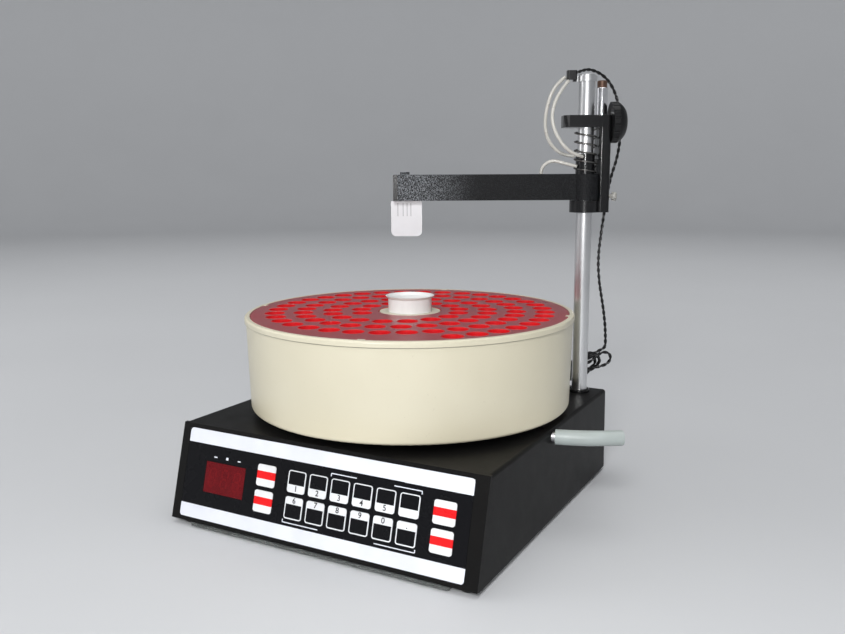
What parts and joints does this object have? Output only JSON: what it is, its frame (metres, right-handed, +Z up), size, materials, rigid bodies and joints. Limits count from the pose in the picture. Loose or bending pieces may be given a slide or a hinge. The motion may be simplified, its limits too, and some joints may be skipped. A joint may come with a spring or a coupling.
{
  "type": "fraction collector",
  "caption": "Fraction collector: a round bowl with a spiral rack of tube sockets on a low keypad case, and a sprung swing arm on a side post.",
  "frame": {"origin": "middle of the object's outline seen from above, on the bench under its feet", "axes": "+Z up along the post, +Y from the keypad to the rear panel, +X to the right of someone facing the keypad"},
  "size_m": [0.3526, 0.328, 0.396],
  "materials": {
    "black_steel": "satin",
    "dark_enamel": "satin",
    "overlay_film": "satin",
    "red_lens": "gloss",
    "green_board": "satin",
    "core_iron": "matte",
    "black_plastic": "satin",
    "black_rubber": "matte",
    "plated_steel": "brushed",
    "cast_aluminium": "satin",
    "clear_hose": "gloss",
    "chromed_steel": "polished",
    "white_plastic": "satin",
    "black_cable": "gloss",
    "white_lead": "gloss",
    "cream_plastic": "satin",
    "red_plastic": "gloss",
    "spring_steel": "satin",
    "brass_gear": "satin",
    "gloss_black": "gloss",
    "clear_sheet": "gloss",
    "white_keys": "gloss",
    "black_keys": "gloss"
  },
  "bodies": {
    "base": {"base_plate": "black_steel", "case_cover": "dark_enamel", "rear_panel": "dark_enamel", "front_panel": "dark_enamel", "panel_overlay": "overlay_film", "display_window": "red_lens", "control_board": "green_board", "main_board": "green_board", "transformer": "core_iron", "rear_sockets": "black_plastic", "feet": "black_rubber", "case_screws": "plated_steel", "spindle_housing": "cast_aluminium", "spindle_bearings": "plated_steel", "drain_spigot": "plated_steel", "drain_hose": "clear_hose", "post": "chromed_steel", "post_collar": "black_plastic", "post_cap": "white_plastic", "cable_clip": "black_plastic", "head_cable": "black_cable", "cable_hank": "black_cable", "head_leads": "white_lead"},
    "turntable": {"bowl": "cream_plastic", "rack_top_plate": "red_plastic", "rack_guide_plate": "red_plastic", "rack_floor_plate": "red_plastic", "centre_cup": "white_plastic", "bowl_spindle": "cast_aluminium"},
    "drive_bracket": {"swing_bracket": "plated_steel", "drive_motor": "plated_steel"},
    "drive_roller": {"drive_sleeve": "black_rubber"},
    "head": {"carrier": "black_plastic", "arm_motor": "chromed_steel", "lift_spring": "spring_steel"},
    "knob": {"lock_knob": "black_plastic"},
    "pinion": {"arm_pinion": "brass_gear"},
    "lift_sleeve": {"arm_sleeve": "gloss_black"},
    "swing_arm": {"arm": "black_plastic", "arm_end_cap": "black_plastic", "arm_lead": "white_lead"},
    "drop_plate": {"sensor_plate": "white_plastic"},
    "card": {"reference_card": "clear_sheet"},
    "rocker": {"power_rocker": "black_plastic"},
    "key_1_pad": {"key_1": "black_keys"},
    "key_2_pad": {"key_2": "black_keys"},
    "key_3_pad": {"key_3": "black_keys"},
    "key_4_pad": {"key_4": "black_keys"},
    "key_5_pad": {"key_5": "black_keys"},
    "key_6_pad": {"key_6": "black_keys"},
    "key_7_pad": {"key_7": "black_keys"},
    "key_8_pad": {"key_8": "black_keys"},
    "key_9_pad": {"key_9": "black_keys"},
    "key_0_pad": {"key_0": "black_keys"},
    "key_point_pad": {"key_point": "black_keys"},
    "key_ce_pad": {"key_ce": "black_keys"},
    "key_run_pad": {"key_run": "white_keys"},
    "key_feed_pad": {"key_feed": "white_keys"},
    "key_pause_pad": {"key_pause": "white_keys"},
    "key_return_pad": {"key_return": "white_keys"}
  },
  "joints": [
    {"name": "bowl_spin", "type": "hinge", "parent": "base", "child": "turntable", "pos_m": [-0.02638, 0.008, 0.0909], "axis": [0, 0, 1], "continuous": true},
    {"name": "bracket_swing", "type": "hinge", "parent": "base", "child": "drive_bracket", "pos_m": [-0.16238, 0.0885, 0.0757], "axis": [0, 0, 1], "range_deg": [0, 6], "stiffness_Nm_per_rad": 1.5, "springref_deg": -5.73},
    {"name": "roller_spin", "type": "hinge", "parent": "drive_bracket", "child": "drive_roller", "pos_m": [-0.14908, 0.12362, 0.0847], "axis": [0, 0, 1], "continuous": true},
    {"name": "head_height", "type": "slide", "parent": "base", "child": "head", "axis": [0, 0, 1], "range_m": [-0.048, 0.03], "deforming": ["head_leads"]},
    {"name": "arm_lift", "type": "slide", "parent": "head", "child": "lift_sleeve", "axis": [0, 0, 1], "range_m": [0, 0.012], "stiffness_N_per_m": 250, "springref_m": -0.004, "deforming": ["lift_spring"]},
    {"name": "arm_swing", "type": "hinge", "parent": "lift_sleeve", "child": "swing_arm", "pos_m": [0.09882, 0.1259, 0.2728], "axis": [0, 0, 1], "range_deg": [-60, 14]},
    {"name": "pinion_spin", "type": "hinge", "parent": "head", "child": "pinion", "pos_m": [0.10812, 0.14285, 0.2734], "axis": [0, 0, 1], "range_deg": [-55, 229]},
    {"name": "plate_tilt", "type": "hinge", "parent": "swing_arm", "child": "drop_plate", "pos_m": [-0.04635, 0.04642, 0.276], "axis": [0.8771, 0.4802, 0], "range_deg": [-12, 12]},
    {"name": "knob_turn", "type": "hinge", "parent": "head", "child": "knob", "pos_m": [0.11921, 0.13592, 0.3446], "axis": [0.8771, 0.4802, 0], "range_deg": [-180, 180]},
    {"name": "card_slide", "type": "slide", "parent": "base", "child": "card", "axis": [0, -1, 0], "range_m": [0, 0.13]},
    {"name": "power_switch", "type": "hinge", "parent": "base", "child": "rocker", "pos_m": [-0.07238, 0.14686, 0.03791], "axis": [1, 0, 0], "range_deg": [0, 16]},
    {"name": "key_1_press", "type": "slide", "parent": "base", "child": "key_1_pad", "axis": [0, 0.9648, -0.263], "range_m": [0, 0.0004], "stiffness_N_per_m": 900, "springref_m": -0.0005},
    {"name": "key_2_press", "type": "slide", "parent": "base", "child": "key_2_pad", "axis": [0, 0.9648, -0.263], "range_m": [0, 0.0004], "stiffness_N_per_m": 900, "springref_m": -0.0005},
    {"name": "key_3_press", "type": "slide", "parent": "base", "child": "key_3_pad", "axis": [0, 0.9648, -0.263], "range_m": [0, 0.0004], "stiffness_N_per_m": 900, "springref_m": -0.0005},
    {"name": "key_4_press", "type": "slide", "parent": "base", "child": "key_4_pad", "axis": [0, 0.9648, -0.263], "range_m": [0, 0.0004], "stiffness_N_per_m": 900, "springref_m": -0.0005},
    {"name": "key_5_press", "type": "slide", "parent": "base", "child": "key_5_pad", "axis": [0, 0.9648, -0.263], "range_m": [0, 0.0004], "stiffness_N_per_m": 900, "springref_m": -0.0005},
    {"name": "key_6_press", "type": "slide", "parent": "base", "child": "key_6_pad", "axis": [0, 0.9648, -0.263], "range_m": [0, 0.0004], "stiffness_N_per_m": 900, "springref_m": -0.0005},
    {"name": "key_7_press", "type": "slide", "parent": "base", "child": "key_7_pad", "axis": [0, 0.9648, -0.263], "range_m": [0, 0.0004], "stiffness_N_per_m": 900, "springref_m": -0.0005},
    {"name": "key_8_press", "type": "slide", "parent": "base", "child": "key_8_pad", "axis": [0, 0.9648, -0.263], "range_m": [0, 0.0004], "stiffness_N_per_m": 900, "springref_m": -0.0005},
    {"name": "key_9_press", "type": "slide", "parent": "base", "child": "key_9_pad", "axis": [0, 0.9648, -0.263], "range_m": [0, 0.0004], "stiffness_N_per_m": 900, "springref_m": -0.0005},
    {"name": "key_0_press", "type": "slide", "parent": "base", "child": "key_0_pad", "axis": [0, 0.9648, -0.263], "range_m": [0, 0.0004], "stiffness_N_per_m": 900, "springref_m": -0.0005},
    {"name": "key_point_press", "type": "slide", "parent": "base", "child": "key_point_pad", "axis": [0, 0.9648, -0.263], "range_m": [0, 0.0004], "stiffness_N_per_m": 900, "springref_m": -0.0005},
    {"name": "key_ce_press", "type": "slide", "parent": "base", "child": "key_ce_pad", "axis": [0, 0.9648, -0.263], "range_m": [0, 0.0004], "stiffness_N_per_m": 900, "springref_m": -0.0005},
    {"name": "key_run_press", "type": "slide", "parent": "base", "child": "key_run_pad", "axis": [0, 0.9648, -0.263], "range_m": [0, 0.0004], "stiffness_N_per_m": 900, "springref_m": -0.0005},
    {"name": "key_feed_press", "type": "slide", "parent": "base", "child": "key_feed_pad", "axis": [0, 0.9648, -0.263], "range_m": [0, 0.0004], "stiffness_N_per_m": 900, "springref_m": -0.0005},
    {"name": "key_pause_press", "type": "slide", "parent": "base", "child": "key_pause_pad", "axis": [0, 0.9648, -0.263], "range_m": [0, 0.0004], "stiffness_N_per_m": 900, "springref_m": -0.0005},
    {"name": "key_return_press", "type": "slide", "parent": "base", "child": "key_return_pad", "axis": [0, 0.9648, -0.263], "range_m": [0, 0.0004], "stiffness_N_per_m": 900, "springref_m": -0.0005}
  ],
  "couplings": [
    {"joint": "roller_spin", "follows": "bowl_spin", "ratio": -7.4146},
    {"joint": "pinion_spin", "follows": "arm_swing", "ratio": -3.8}
  ]
}
